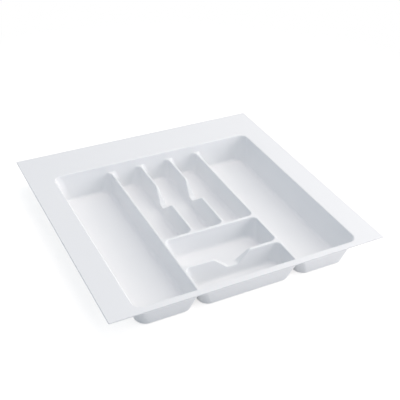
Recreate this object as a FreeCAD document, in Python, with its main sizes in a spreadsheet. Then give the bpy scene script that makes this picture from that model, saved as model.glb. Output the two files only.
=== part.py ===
# Cutlery tray: a trim-to-fit drawer insert drawn from one plastic sheet.
# Seven drafted wells share hollow dividers inside one outer wall, and a flat flange runs round it.
# The sheet is held as its formed regions, which meet on the dividers' mid planes and on the lip.
# Millimetres, +Z up, origin on the resting plane under the middle of the flange.
import FreeCAD
import Part
import Sketcher
import math
import os

doc = FreeCAD.newDocument("cutlery_tray")
sizes = doc.addObject("Spreadsheet::Sheet", "sizes")

DRIVING_SIZES = {
    # the sheet and the flange around the wells
    "overall_width": 556,
    "overall_depth": 540,
    "overall_height": 58.5,
    "sheet_thickness": 2,
    "side_margin": 52,
    "rear_margin": 91.5,
    "front_margin": 14,
    "flange_corner_radius": 2,
    "flange_edge_radius": 0.8,
    # the rounded lip between the flange and the outer wall
    "lip_radius": 2.5,
    "lip_width": 4,
    # the walls: degrees of draft, then corner radii in plan and the fillet along the floors
    "wall_draft": 13,
    "divider_draft": 9,
    "mouth_corner_radius": 16,
    "land_corner_radius": 10,
    "floor_corner_radius": 22,
    "floor_fillet_radius": 8,
    "corner_run_out": 0.15,
    # the dividers: their lands lie below the flange and have rounded shoulders
    "land_drop": 15.5,
    "long_land_width": 4.5,
    "cross_land_width": 6.5,
    "shoulder_radius": 2,
    "main_divider_offset": 101,
    "narrow_divider_offset": 33.7,
    "cross_rail_from_front": 181,
    "cross_divider_from_front": 92,
    # the finger scoops in the two narrow dividers and in the cross divider
    "narrow_scoop_depth": 27,
    "narrow_scoop_flat": 5,
    "cross_scoop_depth": 23,
    "cross_scoop_flat": 14,
    "scoop_flank_angle": 41,
    "scoop_top_radius": 11,
    "scoop_bottom_radius": 11,
    # how far a cutting solid passes the face that it opens
    "overrun": 10,
}
for row, (alias, number) in enumerate(DRIVING_SIZES.items(), start=1):
    sizes.set(f"A{row}", alias)
    sizes.set(f"B{row}", str(number))
    sizes.setAlias(f"B{row}", alias)
doc.recompute()

# Levels and places, each worked out from the sheet of sizes.
HEIGHT = "sizes.overall_height"
THICKNESS = "sizes.sheet_thickness"
WALL_DRAFT = "sizes.wall_draft"
DIVIDER_DRAFT = "sizes.divider_draft"
LAND = "(sizes.overall_height - sizes.land_drop)"
LAND_UNDERSIDE = f"({LAND} - {THICKNESS})"
FLOOR = THICKNESS
ABOVE = "(sizes.overall_height + sizes.overrun)"
HALF_WIDTH = "(sizes.overall_width / 2)"
HALF_DEPTH = "(sizes.overall_depth / 2)"
MOUTH_SIDE = f"({HALF_WIDTH} - sizes.side_margin)"
MOUTH_REAR = f"({HALF_DEPTH} - sizes.rear_margin)"
MOUTH_FRONT = f"(sizes.front_margin - {HALF_DEPTH})"
SEAM_SIDE = f"({MOUTH_SIDE} + sizes.lip_width)"
SEAM_REAR = f"({MOUTH_REAR} + sizes.lip_width)"
SEAM_FRONT = f"({MOUTH_FRONT} - sizes.lip_width)"
MAIN = "sizes.main_divider_offset"
NARROW = "sizes.narrow_divider_offset"
RAIL = f"(sizes.cross_rail_from_front - {HALF_DEPTH})"
CROSS = f"(sizes.cross_divider_from_front - {HALF_DEPTH})"
WALL_AT_LAND = f"(sizes.corner_run_out - sizes.land_drop * tan({WALL_DRAFT}))"
SCOOP_PLACE_SHARE = 0.508
SCOOP_MIDDLE = f"({RAIL} + {SCOOP_PLACE_SHARE} * ({MOUTH_REAR} - {RAIL}))"

# A sketch's plane turned to face along X, or along minus Y, with its second axis upright.
FACING_X = FreeCAD.Rotation(FreeCAD.Vector(1, 1, 1), 120)
FACING_Y = FreeCAD.Rotation(FreeCAD.Vector(1, 0, 0), 90)
UP = FreeCAD.Vector(0, 0, 1)
RIGHT_ANGLE = math.pi / 2
SAME_PLACE = 1e-4
probe = doc.addObject("App::FeaturePython", "probe")


def measure(expression):
    """Value of an expression of the sheet."""
    return float(probe.evalExpression(expression))


def bind(item, **expressions):
    """Ties properties of an object to the sheet; a double underscore stands for a dot."""
    for path, expression in expressions.items():
        item.setExpression(path.replace("__", "."), expression)
    return item


def point(across, along):
    return FreeCAD.Vector(across, along, 0)


def box(name, left, right, front, rear, low, high):
    """Block between six planes."""
    block = doc.addObject("Part::Box", name)
    return bind(block, Placement__Base__x=left, Placement__Base__y=front, Placement__Base__z=low,
                Length=f"({right}) - ({left})", Width=f"({rear}) - ({front})", Height=f"({high}) - ({low})")


def outline(name, left, right, front, rear, level, radius):
    """Sketch of a rounded rectangle that lies flat at a level."""
    sketch = doc.addObject("Sketcher::SketchObject", name)
    half_x = measure(f"({right} - {left}) / 2")
    half_y = measure(f"({rear} - {front}) / 2")
    round_off = measure(radius)
    inner_x = half_x - round_off
    inner_y = half_y - round_off
    corners = [(inner_x, -inner_y), (inner_x, inner_y), (-inner_x, inner_y), (-inner_x, -inner_y)]
    sides = [
        (point(-inner_x, -half_y), point(inner_x, -half_y)),
        (point(half_x, -inner_y), point(half_x, inner_y)),
        (point(inner_x, half_y), point(-inner_x, half_y)),
        (point(-half_x, inner_y), point(-half_x, -inner_y)),
    ]
    for turn, (side, corner) in enumerate(zip(sides, corners)):
        sketch.addGeometry(Part.LineSegment(*side))
        circle = Part.Circle(point(*corner), UP, round_off)
        sketch.addGeometry(Part.ArcOfCircle(circle, (turn - 1) * RIGHT_ANGLE, turn * RIGHT_ANGLE))
    for line in range(0, 8, 2):
        arc = line + 1
        sketch.addConstraint(Sketcher.Constraint("Tangent", line, 2, arc, 1))
        sketch.addConstraint(Sketcher.Constraint("Tangent", arc, 2, (line + 2) % 8, 1))
    sketch.addConstraint(Sketcher.Constraint("Horizontal", 0))
    sketch.addConstraint(Sketcher.Constraint("Vertical", 2))
    sketch.addConstraint(Sketcher.Constraint("Horizontal", 4))
    sketch.addConstraint(Sketcher.Constraint("Vertical", 6))
    for arc in (3, 5, 7):
        sketch.addConstraint(Sketcher.Constraint("Equal", 1, arc))
    sketch.addConstraint(Sketcher.Constraint("Symmetric", 1, 3, 5, 3, -1, 1))
    width = sketch.addConstraint(Sketcher.Constraint("DistanceX", 6, 1, 2, 1, 2 * half_x))
    length = sketch.addConstraint(Sketcher.Constraint("DistanceY", 0, 1, 4, 1, 2 * half_y))
    corner = sketch.addConstraint(Sketcher.Constraint("Radius", 1, round_off))
    sketch.setExpression(f"Constraints[{width}]", f"{right} - {left}")
    sketch.setExpression(f"Constraints[{length}]", f"{rear} - {front}")
    sketch.setExpression(f"Constraints[{corner}]", radius)
    return bind(sketch, Placement__Base__x=f"({left} + {right}) / 2",
                Placement__Base__y=f"({front} + {rear}) / 2", Placement__Base__z=level)


def drafted_block(name, sides, skin, reference, low, high, low_radius, high_radius):
    """Solid with drafted walls and round corners, one skin outside its sides.

    The sides are planes at a reference level, each with its draft, in the order left, right, front, rear.
    """
    outlines = []
    for end, level, radius in (("low", low, low_radius), ("high", high, high_radius)):
        planes = []
        for (plane, draft), outwards in zip(sides, "-+-+"):
            spread = f"({skin} / cos({draft}) + ({level} - ({reference})) * tan({draft}))"
            planes.append(f"({plane} {outwards} {spread})")
        outlines.append(outline(f"{name}_{end}", *planes, level, f"({radius} + {skin})"))
    loft = doc.addObject("Part::Loft", name)
    loft.Sections = outlines
    loft.Solid = True
    loft.Ruled = True
    return loft


def rounded(name, base, picks):
    """Rounds chosen edges of a solid; each pick is a test on an edge and a radius."""
    doc.recompute()
    fillet = doc.addObject("Part::Fillet", name)
    fillet.Base = base
    chosen = []
    for number, edge in enumerate(base.Shape.Edges, start=1):
        for wanted, radius in picks:
            if wanted(edge.BoundBox):
                chosen.append((number, radius, radius))
    fillet.Edges = chosen
    return fillet


def joined(name, solids):
    fuse = doc.addObject("Part::MultiFuse", name)
    fuse.Shapes = solids
    fuse.Refine = True
    return fuse


def shared(name, solids):
    common = doc.addObject("Part::MultiCommon", name)
    common.Shapes = solids
    common.Refine = True
    return common


def taken_away(name, base, tool):
    cut = doc.addObject("Part::Cut", name)
    cut.Base = base
    cut.Tool = tool
    cut.Refine = True
    return cut


def scoop_sketch(name, kind, level, top_radius, bottom_radius, reach_low, reach_high):
    """Section along a divider: its land with the finger scoop sunk into it, and the space above."""
    sketch = doc.addObject("Sketcher::SketchObject", name)
    top = measure(top_radius)
    bottom = measure(bottom_radius)
    depth = measure(f"sizes.{kind}_scoop_depth")
    half_flat = measure(f"sizes.{kind}_scoop_flat / 2")
    flank = math.radians(measure("sizes.scoop_flank_angle"))
    low_end = measure(reach_low)
    high_end = measure(reach_high)
    ceiling = measure(f"{ABOVE} - {level}")
    fall = depth - (top + bottom) * (1 - math.cos(flank))
    foot = half_flat + bottom * math.sin(flank)
    foot_level = bottom * (1 - math.cos(flank)) - depth
    shoulder = foot + fall / math.tan(flank)
    brow = shoulder + top * math.sin(flank)

    def arc(middle, radius, start, end):
        return Part.ArcOfCircle(Part.Circle(middle, UP, radius), start, end)

    path = [
        Part.LineSegment(point(brow, 0), point(high_end, 0)),
        Part.LineSegment(point(high_end, 0), point(high_end, ceiling)),
        Part.LineSegment(point(high_end, ceiling), point(-low_end, ceiling)),
        Part.LineSegment(point(-low_end, ceiling), point(-low_end, 0)),
        Part.LineSegment(point(-low_end, 0), point(-brow, 0)),
        arc(point(-brow, -top), top, RIGHT_ANGLE - flank, RIGHT_ANGLE),
        Part.LineSegment(point(-shoulder, foot_level + fall), point(-foot, foot_level)),
        arc(point(-half_flat, bottom - depth), bottom, -RIGHT_ANGLE - flank, -RIGHT_ANGLE),
        Part.LineSegment(point(-half_flat, -depth), point(half_flat, -depth)),
        arc(point(half_flat, bottom - depth), bottom, -RIGHT_ANGLE, flank - RIGHT_ANGLE),
        Part.LineSegment(point(foot, foot_level), point(shoulder, foot_level + fall)),
        arc(point(brow, -top), top, RIGHT_ANGLE, RIGHT_ANGLE + flank),
    ]
    sketch.addGeometry(path)
    for line in range(4):
        sketch.addConstraint(Sketcher.Constraint("Coincident", line, 2, line + 1, 1))
    joints = [(4, 2, 5, 2), (5, 1, 6, 1), (6, 2, 7, 1), (7, 2, 8, 1), (8, 2, 9, 1), (9, 2, 10, 1),
              (10, 2, 11, 2), (11, 1, 0, 1)]
    for joint in joints:
        sketch.addConstraint(Sketcher.Constraint("Tangent", *joint))
    for level_line in (0, 2, 4):
        sketch.addConstraint(Sketcher.Constraint("Horizontal", level_line))
    for upright_line in (1, 3):
        sketch.addConstraint(Sketcher.Constraint("Vertical", upright_line))
    sketch.addConstraint(Sketcher.Constraint("PointOnObject", 0, 2, -1))
    sketch.addConstraint(Sketcher.Constraint("PointOnObject", 4, 1, -1))
    sketch.addConstraint(Sketcher.Constraint("Equal", 5, 11))
    sketch.addConstraint(Sketcher.Constraint("Equal", 7, 9))
    sketch.addConstraint(Sketcher.Constraint("Symmetric", 8, 1, 8, 2, -2))
    sketch.addConstraint(Sketcher.Constraint("Equal", 6, 10))
    sized = [
        (Sketcher.Constraint("Radius", 5, top), top_radius),
        (Sketcher.Constraint("Radius", 7, bottom), bottom_radius),
        (Sketcher.Constraint("Angle", 10, flank), "sizes.scoop_flank_angle * 1 deg"),
        (Sketcher.Constraint("DistanceX", 8, 1, 8, 2, 2 * half_flat), f"sizes.{kind}_scoop_flat"),
        (Sketcher.Constraint("DistanceY", 8, 2, -1, 1, depth), f"sizes.{kind}_scoop_depth"),
        (Sketcher.Constraint("DistanceX", -1, 1, 0, 2, high_end), reach_high),
        (Sketcher.Constraint("DistanceX", 4, 1, -1, 1, low_end), reach_low),
        (Sketcher.Constraint("DistanceY", -1, 1, 2, 1, ceiling), f"{ABOVE} - {level}"),
    ]
    for constraint, expression in sized:
        number = sketch.addConstraint(constraint)
        sketch.setExpression(f"Constraints[{number}]", expression)
    return sketch


def land_space(name, well, level, top_radius, bottom_radius):
    """Space over a well's lands: a plain block, with the scooped section on the sides that have one."""
    left, right, front, rear = well["spread"]
    scooped = well["scooped"]
    if scooped == "none":
        return box(name, left, right, front, rear, level, ABOVE)
    middle_x = f"(({well['left']} + {well['right']}) / 2)"
    middle_y = f"(({well['front']} + {well['rear']}) / 2)"
    halves = {
        "left": (left, middle_x, front, rear),
        "right": (middle_x, right, front, rear),
        "front": (left, right, front, middle_y),
        "rear": (left, right, middle_y, rear),
        "both": (left, right, front, rear),
    }
    opposite = {"left": "right", "right": "left", "front": "rear", "rear": "front"}
    begin_x, end_x, begin_y, end_y = halves[scooped]
    scoop = doc.addObject("Part::Extrusion", f"{name}_scooped")
    scoop.DirMode = "Custom"
    scoop.Solid = True
    if scooped in ("front", "rear"):
        section = scoop_sketch(f"{name}_section", "cross", level, top_radius, bottom_radius,
                               f"(0 - {left})", right)
        section.Placement.Rotation = FACING_Y
        bind(section, Placement__Base__y=begin_y, Placement__Base__z=level)
        scoop.Dir = FreeCAD.Vector(0, 1, 0)
        bind(scoop, LengthFwd=f"{end_y} - {begin_y}")
    else:
        section = scoop_sketch(f"{name}_section", "narrow", level, top_radius, bottom_radius,
                               f"({SCOOP_MIDDLE} - {front})", f"({rear} - {SCOOP_MIDDLE})")
        section.Placement.Rotation = FACING_X
        bind(section, Placement__Base__x=begin_x, Placement__Base__y=SCOOP_MIDDLE,
             Placement__Base__z=level)
        scoop.Dir = FreeCAD.Vector(1, 0, 0)
        bind(scoop, LengthFwd=f"{end_x} - {begin_x}")
    scoop.Base = section
    if scooped == "both":
        return scoop
    plain = box(f"{name}_plain", *halves[opposite[scooped]], level, ABOVE)
    return joined(name, [plain, scoop])


# The outer wall that all wells share: its inner face, and its outer face one sheet further out.
mouth_planes = (f"(0 - {MOUTH_SIDE})", MOUTH_SIDE, MOUTH_FRONT, MOUTH_REAR)
mouth_sides = [(plane, WALL_DRAFT) for plane in mouth_planes]
wall_inside = drafted_block("wall_inside", mouth_sides, "0", HEIGHT, "0", ABOVE,
                            "sizes.floor_corner_radius", "sizes.mouth_corner_radius")
wall_outside = drafted_block("wall_outside", mouth_sides, THICKNESS, HEIGHT, "0 - sizes.overrun", HEIGHT,
                             "sizes.floor_corner_radius", "sizes.mouth_corner_radius")

# Each well: the seam planes of its region, its four walls at land level with their drafts, its scoops.
LONG_HALF = "(sizes.long_land_width / 2)"
CROSS_HALF = "(sizes.cross_land_width / 2)"
SIDE_WALL = f"({MOUTH_SIDE} + {WALL_AT_LAND})"
REAR_WALL = f"({MOUTH_REAR} + {WALL_AT_LAND})"
FRONT_WALL = f"({MOUTH_FRONT} - {WALL_AT_LAND})"


def well_plan(left, right, front, rear, scooped):
    """Region and walls of a well; each side is a seam plane and the drafted wall inside it."""
    plan = {"left": left[0], "right": right[0], "front": front[0], "rear": rear[0], "scooped": scooped}
    plan["scoop_kind"] = "cross" if scooped in ("front", "rear") else "narrow"
    plan["has_lip"] = rear == rear_outside or front == front_outside
    plan["walls"] = (left[1], right[1], front[1], rear[1])
    plan["spread"] = (f"({left[0]} - sizes.overrun)", f"({right[0]} + sizes.overrun)",
                      f"({front[0]} - sizes.overrun)", f"({rear[0]} + sizes.overrun)")
    return plan


def land_side(seam, half_land, sign):
    """A divider's seam plane, and the wall that starts half a land from it."""
    return seam, (f"({seam} {sign} {half_land})", DIVIDER_DRAFT)


left_outside = (f"(0 - {SEAM_SIDE})", (f"(0 - {SIDE_WALL})", WALL_DRAFT))
right_outside = (SEAM_SIDE, (SIDE_WALL, WALL_DRAFT))
rear_outside = (SEAM_REAR, (REAR_WALL, WALL_DRAFT))
front_outside = (SEAM_FRONT, (FRONT_WALL, WALL_DRAFT))
minus_main = f"(0 - {MAIN})"
minus_narrow = f"(0 - {NARROW})"
from_rail = land_side(RAIL, CROSS_HALF, "+")
to_rail = land_side(RAIL, CROSS_HALF, "-")
from_cross = land_side(CROSS, CROSS_HALF, "+")
to_cross = land_side(CROSS, CROSS_HALF, "-")
from_left_main = land_side(minus_main, LONG_HALF, "+")
to_right_main = land_side(MAIN, LONG_HALF, "-")

WELLS = {
    "left_long_well": well_plan(left_outside, land_side(minus_main, LONG_HALF, "-"),
                                front_outside, rear_outside, "none"),
    "right_long_well": well_plan(land_side(MAIN, LONG_HALF, "+"), right_outside,
                                 front_outside, rear_outside, "none"),
    "fork_well": well_plan(from_left_main, land_side(minus_narrow, LONG_HALF, "-"),
                           from_rail, rear_outside, "right"),
    "knife_well": well_plan(land_side(minus_narrow, LONG_HALF, "+"), land_side(NARROW, LONG_HALF, "-"),
                            from_rail, rear_outside, "both"),
    "spoon_well": well_plan(land_side(NARROW, LONG_HALF, "+"), to_right_main,
                            from_rail, rear_outside, "left"),
    "rear_cross_well": well_plan(from_left_main, to_right_main, from_cross, to_rail, "front"),
    "front_cross_well": well_plan(from_left_main, to_right_main, front_outside, to_cross, "rear"),
}


def formed_well(name, well):
    """One well of the sheet, with its halves of the dividers and its stretch of wall and lip."""
    walls = well["walls"]
    wall_planes = [plane for plane, draft in walls]
    floor_fillet = measure("sizes.floor_fillet_radius")
    floor = measure(FLOOR)
    land = measure(LAND)
    height = measure(HEIGHT)
    saddle = measure(f"{LAND} - sizes.{well['scoop_kind']}_scoop_depth")

    def within(edge, low_x, high_x, low_y, high_y):
        return (edge.XMin > measure(low_x) - SAME_PLACE and edge.XMax < measure(high_x) + SAME_PLACE
                and edge.YMin > measure(low_y) - SAME_PLACE and edge.YMax < measure(high_y) + SAME_PLACE)

    def between(edge, low, high):
        return edge.ZMin > low - SAME_PLACE and edge.ZMax < high + SAME_PLACE

    def on_floor(edge):
        return between(edge, floor, floor)

    def on_underside(edge):
        return between(edge, 0, 0)

    def on_shoulder(edge):
        return between(edge, saddle, land) and within(edge, *wall_planes)

    def on_lip(edge):
        return between(edge, height, height) and within(edge, f"-{MOUTH_SIDE}", MOUTH_SIDE,
                                                        MOUTH_FRONT, MOUTH_REAR)

    # the space inside the well, from the floor up past the flange
    hollow = drafted_block(f"{name}_hollow", walls, "0", LAND, FLOOR, LAND,
                           "sizes.floor_corner_radius", "sizes.land_corner_radius")
    over_lands = land_space(f"{name}_over_lands", well, LAND, "sizes.scoop_top_radius",
                            "sizes.scoop_bottom_radius")
    space = joined(f"{name}_space", [hollow, over_lands])
    soft_space = rounded(f"{name}_soft_space", space,
                         [(on_shoulder, measure("sizes.shoulder_radius")), (on_floor, floor_fillet)])
    inside = shared(f"{name}_inside", [wall_inside, soft_space])

    # the same forms one sheet further out
    tub = drafted_block(f"{name}_tub", walls, THICKNESS, LAND, "0", LAND,
                        "sizes.floor_corner_radius", "sizes.land_corner_radius")
    soft_tub = rounded(f"{name}_soft_tub", tub, [(on_underside, floor_fillet + measure(THICKNESS))])
    under_lands = land_space(f"{name}_under_lands", well, LAND_UNDERSIDE,
                             f"sizes.scoop_top_radius - {THICKNESS}",
                             f"sizes.scoop_bottom_radius + {THICKNESS}")
    body = joined(f"{name}_body", [soft_tub, under_lands])
    shell = shared(f"{name}_shell", [wall_outside, body])

    # the stretch of flange over the lip, and the cut to the well's own region
    plan = (well["left"], well["right"], well["front"], well["rear"])
    flange = box(f"{name}_flange", *plan, f"{HEIGHT} - {THICKNESS}", HEIGHT)
    region = box(f"{name}_region", *plan, "0", HEIGHT)
    solid = joined(f"{name}_solid", [shell, flange])
    part = shared(f"{name}_part", [region, solid])
    sheet = taken_away(f"{name}_sheet", part, inside)
    if not well["has_lip"]:
        return sheet
    return rounded(name, sheet, [(on_lip, measure("sizes.lip_radius"))])


sub_parts = []
for well_name, well in WELLS.items():
    formed = formed_well(well_name, well)
    formed.Label = well_name
    sub_parts.append(formed)


def flange_strip(name, left, right, front, rear, outer_sides):
    """Flat strip of the flange with its outer top edges softened."""
    body = doc.addObject("PartDesign::Body", name)
    ground = next(item for item in body.Origin.OriginFeatures if item.Role == "XY_Plane")
    sketch = body.newObject("Sketcher::SketchObject", f"{name}_outline")
    sketch.AttachmentSupport = [(ground, "")]
    sketch.MapMode = "FlatFace"
    sketch.setExpression("AttachmentOffset.Base.z", f"{HEIGHT} - {THICKNESS}")
    x_low, x_high = measure(left), measure(right)
    y_low, y_high = measure(front), measure(rear)
    corners = [point(x_low, y_low), point(x_high, y_low), point(x_high, y_high), point(x_low, y_high)]
    for number in range(4):
        sketch.addGeometry(Part.LineSegment(corners[number], corners[(number + 1) % 4]))
    for number in range(4):
        sketch.addConstraint(Sketcher.Constraint("Coincident", number, 2, (number + 1) % 4, 1))
    for number in (0, 2):
        sketch.addConstraint(Sketcher.Constraint("Horizontal", number))
        sketch.addConstraint(Sketcher.Constraint("Vertical", number + 1))
    for kind, line, value, expression in (("DistanceX", 3, x_low, left), ("DistanceX", 1, x_high, right),
                                          ("DistanceY", 0, y_low, front), ("DistanceY", 2, y_high, rear)):
        number = sketch.addConstraint(Sketcher.Constraint(kind, -1, 1, line, 1, value))
        sketch.setExpression(f"Constraints[{number}]", expression)
    pad = body.newObject("PartDesign::Pad", f"{name}_pad")
    pad.Profile = sketch
    pad.setExpression("Length", THICKNESS)
    doc.recompute()
    sides = {"left": x_low, "right": x_high, "front": y_low, "rear": y_high}

    def lies_on(edge, side):
        low, high = (edge.XMin, edge.XMax) if side in ("left", "right") else (edge.YMin, edge.YMax)
        return abs(low - sides[side]) < SAME_PLACE and abs(high - sides[side]) < SAME_PLACE

    def outer_corner(edge):
        upright = edge.ZMax - edge.ZMin > SAME_PLACE
        return upright and sum(lies_on(edge, side) for side in outer_sides) == 2

    def outer_top(edge):
        inner_sides = [side for side in sides if side not in outer_sides]
        on_top = abs(edge.ZMin - measure(HEIGHT)) < SAME_PLACE
        return on_top and not any(lies_on(edge, side) for side in inner_sides)

    tip = pad
    for feature, wanted, radius in (("corners", outer_corner, "sizes.flange_corner_radius"),
                                    ("edge", outer_top, "sizes.flange_edge_radius")):
        chosen = [f"Edge{number}" for number, edge in enumerate(tip.Shape.Edges, start=1)
                  if wanted(edge.BoundBox)]
        if not chosen:
            continue
        fillet = body.newObject("PartDesign::Fillet", f"{name}_{feature}")
        fillet.Base = (tip, chosen)
        fillet.setExpression("Radius", radius)
        doc.recompute()
        tip = fillet
    body.Label = name
    return body


FLANGE_STRIPS = {
    "left_trim_flange": (f"(0 - {HALF_WIDTH})", f"(0 - {SEAM_SIDE})", f"(0 - {HALF_DEPTH})", SEAM_REAR,
                         ("left", "front")),
    "right_trim_flange": (SEAM_SIDE, HALF_WIDTH, f"(0 - {HALF_DEPTH})", SEAM_REAR, ("right", "front")),
    "rear_trim_flange": (f"(0 - {HALF_WIDTH})", HALF_WIDTH, SEAM_REAR, HALF_DEPTH,
                         ("left", "right", "rear")),
    "front_lip": (f"(0 - {SEAM_SIDE})", SEAM_SIDE, f"(0 - {HALF_DEPTH})", SEAM_FRONT, ("front",)),
}
for strip_name, strip in FLANGE_STRIPS.items():
    sub_parts.append(flange_strip(strip_name, *strip))

doc.recompute()
for item in doc.Objects:
    if "Invalid" in item.State or "Error" in item.State:
        raise RuntimeError(f"{item.Label} did not build: {item.State}")
for sub_part in sub_parts:
    if sub_part.Shape.isNull() or not sub_part.Shape.isValid() or len(sub_part.Shape.Solids) != 1:
        raise RuntimeError(f"{sub_part.Label} is not one valid solid")

os.makedirs("parts", exist_ok=True)
for sub_part in sub_parts:
    sub_part.Shape.exportStep(f"parts/{sub_part.Label}.step")
    print(f"{sub_part.Label}: {len(sub_part.Shape.Faces)} faces, {sub_part.Shape.Volume / 1000:.1f} cm3")
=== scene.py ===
import math

import bpy
from mathutils import Matrix, Vector


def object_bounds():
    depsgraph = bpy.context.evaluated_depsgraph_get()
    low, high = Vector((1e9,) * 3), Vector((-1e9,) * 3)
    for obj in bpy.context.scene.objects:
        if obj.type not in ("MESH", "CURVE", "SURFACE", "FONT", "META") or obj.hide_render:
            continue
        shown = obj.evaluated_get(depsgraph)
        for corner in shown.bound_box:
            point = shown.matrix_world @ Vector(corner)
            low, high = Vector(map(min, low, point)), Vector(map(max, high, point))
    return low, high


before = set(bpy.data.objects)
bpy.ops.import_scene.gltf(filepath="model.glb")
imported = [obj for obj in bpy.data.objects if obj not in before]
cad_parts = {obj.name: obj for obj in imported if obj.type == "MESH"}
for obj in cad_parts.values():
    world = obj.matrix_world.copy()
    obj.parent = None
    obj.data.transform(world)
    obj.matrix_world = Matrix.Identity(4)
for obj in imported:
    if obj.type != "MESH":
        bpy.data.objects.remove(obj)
cad_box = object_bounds()

# Wells: seven open boxes drawn down into one white plastic sheet, with hollow dividers between them.
# The sheet is satin white. Where it was stretched over the mould its grain is flatter and its face smoother,
# and that grows from the lip, which is still as flat as the flange, down to the dividers' tops.
WELLS = ("left_long_well", "right_long_well", "fork_well", "knife_well", "spoon_well",
         "rear_cross_well", "front_cross_well")
SHADED_WHITE = (0.868, 0.873, 0.884, 1.0)
CLEAR_WHITE = (0.892, 0.896, 0.905, 1.0)
PLASTIC_IOR = 1.5
FLAT_ROUGHNESS = 0.46
DRAWN_ROUGHNESS = 0.38
MILLIMETRE = 0.001
FLAT_GRAIN = 0.022
DRAWN_GRAIN = 0.010
DRAW_DEPTH = 0.0155


def sheet_skin():
    """Node group for the sheet's skin: slow change of tone, satin grain and the ripple of cooling.

    Grain and ripple are heights in millimetres.
    """
    cloud_scale, cloud_detail = 7.0, 2.0
    grain_scale, grain_detail, roughness_spread = 1500.0, 1.0, 0.10
    ripple_scale, ripple_detail, ripple_height = 38.0, 1.0, 0.05
    skin = bpy.data.node_groups.new("sheet_skin", "ShaderNodeTree")
    for name, kind in (("Place", "Vector"), ("Shaded White", "Color"), ("Clear White", "Color"),
                       ("Satin", "Float"), ("Grain Height", "Float")):
        skin.interface.new_socket(name, in_out="INPUT", socket_type=f"NodeSocket{kind}")
    for name, kind in (("Tone", "Color"), ("Roughness", "Float"), ("Height", "Float")):
        skin.interface.new_socket(name, in_out="OUTPUT", socket_type=f"NodeSocket{kind}")
    nodes, links = skin.nodes, skin.links
    given = nodes.new("NodeGroupInput")
    result = nodes.new("NodeGroupOutput")

    def noise(scale, detail):
        texture = nodes.new("ShaderNodeTexNoise")
        texture.inputs["Scale"].default_value = scale
        texture.inputs["Detail"].default_value = detail
        links.new(given.outputs["Place"], texture.inputs["Vector"])
        return texture.outputs["Fac"]

    def times_plus(value, factor, addend):
        step = nodes.new("ShaderNodeMath")
        step.operation = "MULTIPLY_ADD"
        for socket, term in zip(step.inputs, (value, factor, addend)):
            if isinstance(term, bpy.types.NodeSocket):
                links.new(term, socket)
            else:
                socket.default_value = term
        return step.outputs["Value"]

    grain = noise(grain_scale, grain_detail)
    tone = nodes.new("ShaderNodeMix")
    tone.data_type = "RGBA"
    links.new(noise(cloud_scale, cloud_detail), tone.inputs["Factor"])
    links.new(given.outputs["Shaded White"], tone.inputs["A"])
    links.new(given.outputs["Clear White"], tone.inputs["B"])
    links.new(tone.outputs["Result"], result.inputs["Tone"])
    links.new(times_plus(grain, roughness_spread, given.outputs["Satin"]), result.inputs["Roughness"])
    ripple = times_plus(noise(ripple_scale, ripple_detail), ripple_height, 0.0)
    links.new(times_plus(grain, given.outputs["Grain Height"], ripple), result.inputs["Height"])
    return skin


skin_group = sheet_skin()


def sheet_material(name):
    """Material with the sheet's skin on it, whose satin and grain are still to be set."""
    material = bpy.data.materials.new(name)
    material.use_nodes = True
    nodes, links = material.node_tree.nodes, material.node_tree.links
    skin = nodes.new("ShaderNodeGroup")
    skin.node_tree = skin_group
    skin.name = "skin"
    skin.inputs["Shaded White"].default_value = SHADED_WHITE
    skin.inputs["Clear White"].default_value = CLEAR_WHITE
    place = nodes.new("ShaderNodeTexCoord")
    axes = nodes.new("ShaderNodeSeparateXYZ")
    axes.name = "axes"
    relief = nodes.new("ShaderNodeBump")
    relief.inputs["Distance"].default_value = MILLIMETRE
    shader = nodes["Principled BSDF"]
    shader.inputs["IOR"].default_value = PLASTIC_IOR
    links.new(place.outputs["Object"], skin.inputs["Place"])
    links.new(place.outputs["Object"], axes.inputs["Vector"])
    links.new(skin.outputs["Tone"], shader.inputs["Base Color"])
    links.new(skin.outputs["Roughness"], shader.inputs["Roughness"])
    links.new(skin.outputs["Height"], relief.inputs["Height"])
    links.new(relief.outputs["Normal"], shader.inputs["Normal"])
    return material


def ramp(material, over, start, end, first, last):
    """Value that goes smoothly from first to last while the value over goes from start to end."""
    step = material.node_tree.nodes.new("ShaderNodeMapRange")
    step.interpolation_type = "SMOOTHSTEP"
    for socket, value in (("From Min", start), ("From Max", end), ("To Min", first), ("To Max", last)):
        step.inputs[socket].default_value = value
    material.node_tree.links.new(over, step.inputs["Value"])
    return step.outputs["Result"]


def cover(names, material):
    """Gives these regions of the sheet one finish."""
    for name in names:
        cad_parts[name].data.materials.clear()
        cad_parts[name].data.materials.append(material)


flange_top = cad_box[1][2]
drawn_sheet = sheet_material("drawn_sheet")
nodes, links = drawn_sheet.node_tree.nodes, drawn_sheet.node_tree.links
skin = nodes["skin"]
draw = (drawn_sheet, nodes["axes"].outputs["Z"], flange_top - DRAW_DEPTH, flange_top)
links.new(ramp(*draw, DRAWN_ROUGHNESS, FLAT_ROUGHNESS), skin.inputs["Satin"])
links.new(ramp(*draw, DRAWN_GRAIN, FLAT_GRAIN), skin.inputs["Grain Height"])
cover(WELLS, drawn_sheet)

# Trim flange and front lip: the flat margin of the same sheet, which was never stretched and keeps its full
# grain. It is cut to the drawer with a knife, and its cut edge all round is duller than its face and painted
# greyer, as painted shade on the thin edge.
FLANGE = ("left_trim_flange", "right_trim_flange", "rear_trim_flange", "front_lip")
PAINTED_EDGE_SHADE = (0.80, 0.805, 0.815, 1.0)
CUT_ROUGHNESS = 0.62
CUT_REACH = 0.0006


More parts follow.
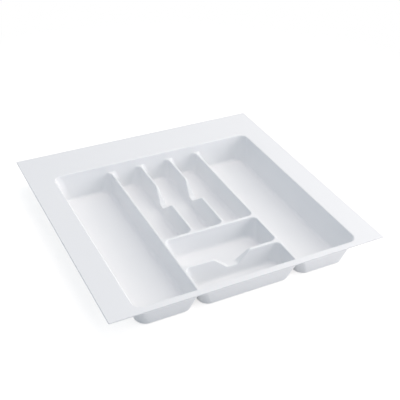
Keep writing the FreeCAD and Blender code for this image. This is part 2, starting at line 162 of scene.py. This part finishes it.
def past_outline(material):
    """How far a point lies past the flange's outline, which is less than zero inside it."""
    nodes, links = material.node_tree.nodes, material.node_tree.links
    farthest = nodes.new("ShaderNodeMath")
    farthest.operation = "MAXIMUM"
    for side, (axis, reach) in enumerate((("X", cad_box[1][0]), ("Y", cad_box[1][1]))):
        away = nodes.new("ShaderNodeMath")
        away.operation = "ABSOLUTE"
        past = nodes.new("ShaderNodeMath")
        past.operation = "SUBTRACT"
        past.inputs[1].default_value = reach
        links.new(nodes["axes"].outputs[axis], away.inputs[0])
        links.new(away.outputs["Value"], past.inputs[0])
        links.new(past.outputs["Value"], farthest.inputs[side])
    return farthest.outputs["Value"]


flat_sheet = sheet_material("flat_sheet")
nodes, links = flat_sheet.node_tree.nodes, flat_sheet.node_tree.links
skin, shader = nodes["skin"], nodes["Principled BSDF"]
skin.inputs["Grain Height"].default_value = FLAT_GRAIN
cut = (flat_sheet, past_outline(flat_sheet), -CUT_REACH, 0.0)
links.new(ramp(*cut, FLAT_ROUGHNESS, CUT_ROUGHNESS), skin.inputs["Satin"])
# Painted shade: the colour of the cut edge all round is mixed towards a darker grey than the face.
edge = nodes.new("ShaderNodeMix")
edge.data_type = "RGBA"
edge.inputs["B"].default_value = PAINTED_EDGE_SHADE
links.new(ramp(*cut, 0.0, 1.0), edge.inputs["Factor"])
links.new(skin.outputs["Tone"], edge.inputs["A"])
links.new(edge.outputs["Result"], shader.inputs["Base Color"])
cover(FLANGE, flat_sheet)

# Studio floor: a plain pale sheet of paper that the tray stands on. The camera sees it as white, with the
# tray's soft shadow on it, which fades out between a near and a far distance from the tray's middle. To all
# other light it is a pale grey surface.
FLOOR_HALF = 6.0
FLOOR_LEVEL = -0.0003
PAPER_GREY = (0.74, 0.74, 0.74, 1.0)
SHADOW_GREY = (0.63, 0.60, 0.57, 1.0)
PAPER_GLOW = (0.70, 0.70, 0.70, 1.0)
WHITE = (1.0, 1.0, 1.0, 1.0)
SHADOW_NEAR = 0.45
SHADOW_FAR = 1.1
floor_mesh = bpy.data.meshes.new("studio_floor")
floor_corners = [(-FLOOR_HALF, -FLOOR_HALF, FLOOR_LEVEL), (FLOOR_HALF, -FLOOR_HALF, FLOOR_LEVEL),
                 (FLOOR_HALF, FLOOR_HALF, FLOOR_LEVEL), (-FLOOR_HALF, FLOOR_HALF, FLOOR_LEVEL)]
floor_mesh.from_pydata(floor_corners, [], [(0, 1, 2, 3)])
floor = bpy.data.objects.new("studio_floor", floor_mesh)
bpy.context.scene.collection.objects.link(floor)


def seen_directly(tree):
    """Factor that is 1 for rays from the camera, in reflections and through clear things."""
    path = tree.nodes.new("ShaderNodeLightPath")
    seen = path.outputs["Is Camera Ray"]
    for other in ("Is Glossy Ray", "Is Transmission Ray"):
        either = tree.nodes.new("ShaderNodeMath")
        either.operation = "MAXIMUM"
        tree.links.new(seen, either.inputs[0])
        tree.links.new(path.outputs[other], either.inputs[1])
        seen = either.outputs["Value"]
    return seen


def coloured(tree, kind, colour):
    """Shader of this kind in one plain colour."""
    shader = tree.nodes.new(kind)
    shader.inputs["Color"].default_value = colour
    return shader.outputs[0]


def mixed(tree, factor, first, second):
    """Shader that is the first one where the factor is 0 and the second where it is 1."""
    choice = tree.nodes.new("ShaderNodeMixShader")
    for socket, source in zip(choice.inputs, (factor, first, second)):
        tree.links.new(source, socket)
    return choice.outputs["Shader"]


paper = bpy.data.materials.new("studio_paper")
paper.use_nodes = True
tree = paper.node_tree
tree.nodes.clear()
near_paper = tree.nodes.new("ShaderNodeAddShader")
tree.links.new(coloured(tree, "ShaderNodeBsdfDiffuse", SHADOW_GREY), near_paper.inputs[0])
tree.links.new(coloured(tree, "ShaderNodeEmission", PAPER_GLOW), near_paper.inputs[1])
far_paper = coloured(tree, "ShaderNodeEmission", WHITE)
paper_place = tree.nodes.new("ShaderNodeTexCoord")
distance = tree.nodes.new("ShaderNodeVectorMath")
distance.operation = "LENGTH"
tree.links.new(paper_place.outputs["Object"], distance.inputs[0])
fade = ramp(paper, distance.outputs["Value"], SHADOW_NEAR, SHADOW_FAR, 0.0, 1.0)
seen_paper = mixed(tree, fade, near_paper.outputs["Shader"], far_paper)
lit_paper = coloured(tree, "ShaderNodeBsdfDiffuse", PAPER_GREY)
output = tree.nodes.new("ShaderNodeOutputMaterial")
tree.links.new(mixed(tree, seen_directly(tree), lit_paper, seen_paper), output.inputs["Surface"])
floor_mesh.materials.append(paper)

# Light: a broad soft lamp on the right, one overhead and a low fill at the front on the right that leaves no
# mirror image, all a little warm, and an even cool light from all round. The camera sees white around the
# tray. Azimuths are degrees from the right, +X, towards the back, +Y.
WORLD_COLOUR = (0.783, 0.89, 1.0, 1.0)
WORLD_STRENGTH = 0.53
LAMPS = {
    "side": {"azimuth": 0, "elevation": 47, "distance": 3.5, "size": 4.2, "power": 56.0,
             "colour": (1.0, 0.94, 0.845), "mirrored": True},
    "overhead": {"azimuth": 45, "elevation": 80, "distance": 3.0, "size": 1.8, "power": 18.0,
                 "colour": (1.0, 0.855, 0.80), "mirrored": True},
    "front_fill": {"azimuth": 318, "elevation": 12, "distance": 1.9, "size": 1.2, "power": 13.4,
                   "colour": (1.0, 0.94, 0.94), "mirrored": False},
}
world = bpy.data.worlds.new("studio")
bpy.context.scene.world = world
world.use_nodes = True
tree = world.node_tree
around = tree.nodes["Background"]
around.inputs["Color"].default_value = WORLD_COLOUR
around.inputs["Strength"].default_value = WORLD_STRENGTH
backdrop = coloured(tree, "ShaderNodeBackground", WHITE)
surroundings = mixed(tree, seen_directly(tree), around.outputs["Background"], backdrop)
tree.links.new(surroundings, tree.nodes["World Output"].inputs["Surface"])
for name, plan in LAMPS.items():
    lamp = bpy.data.lights.new(name, "AREA")
    lamp.shape = "DISK"
    lamp.size = plan["size"]
    lamp.energy = plan["power"]
    lamp.color = plan["colour"]
    stand = bpy.data.objects.new(name, lamp)
    stand.visible_glossy = plan["mirrored"]
    bpy.context.scene.collection.objects.link(stand)
    azimuth, elevation = math.radians(plan["azimuth"]), math.radians(plan["elevation"])
    outward = Vector((math.cos(elevation) * math.cos(azimuth), math.cos(elevation) * math.sin(azimuth),
                      math.sin(elevation)))
    aim = (-outward).to_track_quat("-Z", "Y").to_matrix().to_4x4()
    stand.matrix_world = Matrix.Translation(plan["distance"] * outward) @ aim

# Camera: in front of the tray and to its left, looking down through a long lens, so that the perspective
# stays flat. It is aimed near the middle of the flange's plane and rolled by a little.
VIEW_YAW = math.radians(-28.09)
VIEW_PITCH = math.radians(34.63)
VIEW_ROLL = math.radians(2.2)
VIEW_DISTANCE = 1.5227
VIEW_TARGET = Vector((0.0147, -0.0177, flange_top))
SENSOR = 36.0
FOCAL_PIXELS = 761.0
IMAGE_PIXELS = 400
back = Vector((math.sin(VIEW_YAW) * math.cos(VIEW_PITCH), -math.cos(VIEW_YAW) * math.cos(VIEW_PITCH),
               math.sin(VIEW_PITCH)))
level = Vector((0, 0, 1)).cross(back).normalized()
right = math.cos(VIEW_ROLL) * level + math.sin(VIEW_ROLL) * back.cross(level)
up = back.cross(right)
lens = bpy.data.cameras.new("view")
lens.sensor_fit = "HORIZONTAL"
lens.sensor_width = SENSOR
lens.lens = SENSOR * FOCAL_PIXELS / IMAGE_PIXELS
camera = bpy.data.objects.new("view", lens)
bpy.context.scene.collection.objects.link(camera)
turn = Matrix((right, up, back)).transposed().to_4x4()
camera.matrix_world = Matrix.Translation(VIEW_TARGET + back * VIEW_DISTANCE) @ turn
bpy.context.scene.camera = camera
bpy.context.scene.view_settings.view_transform = "Standard"
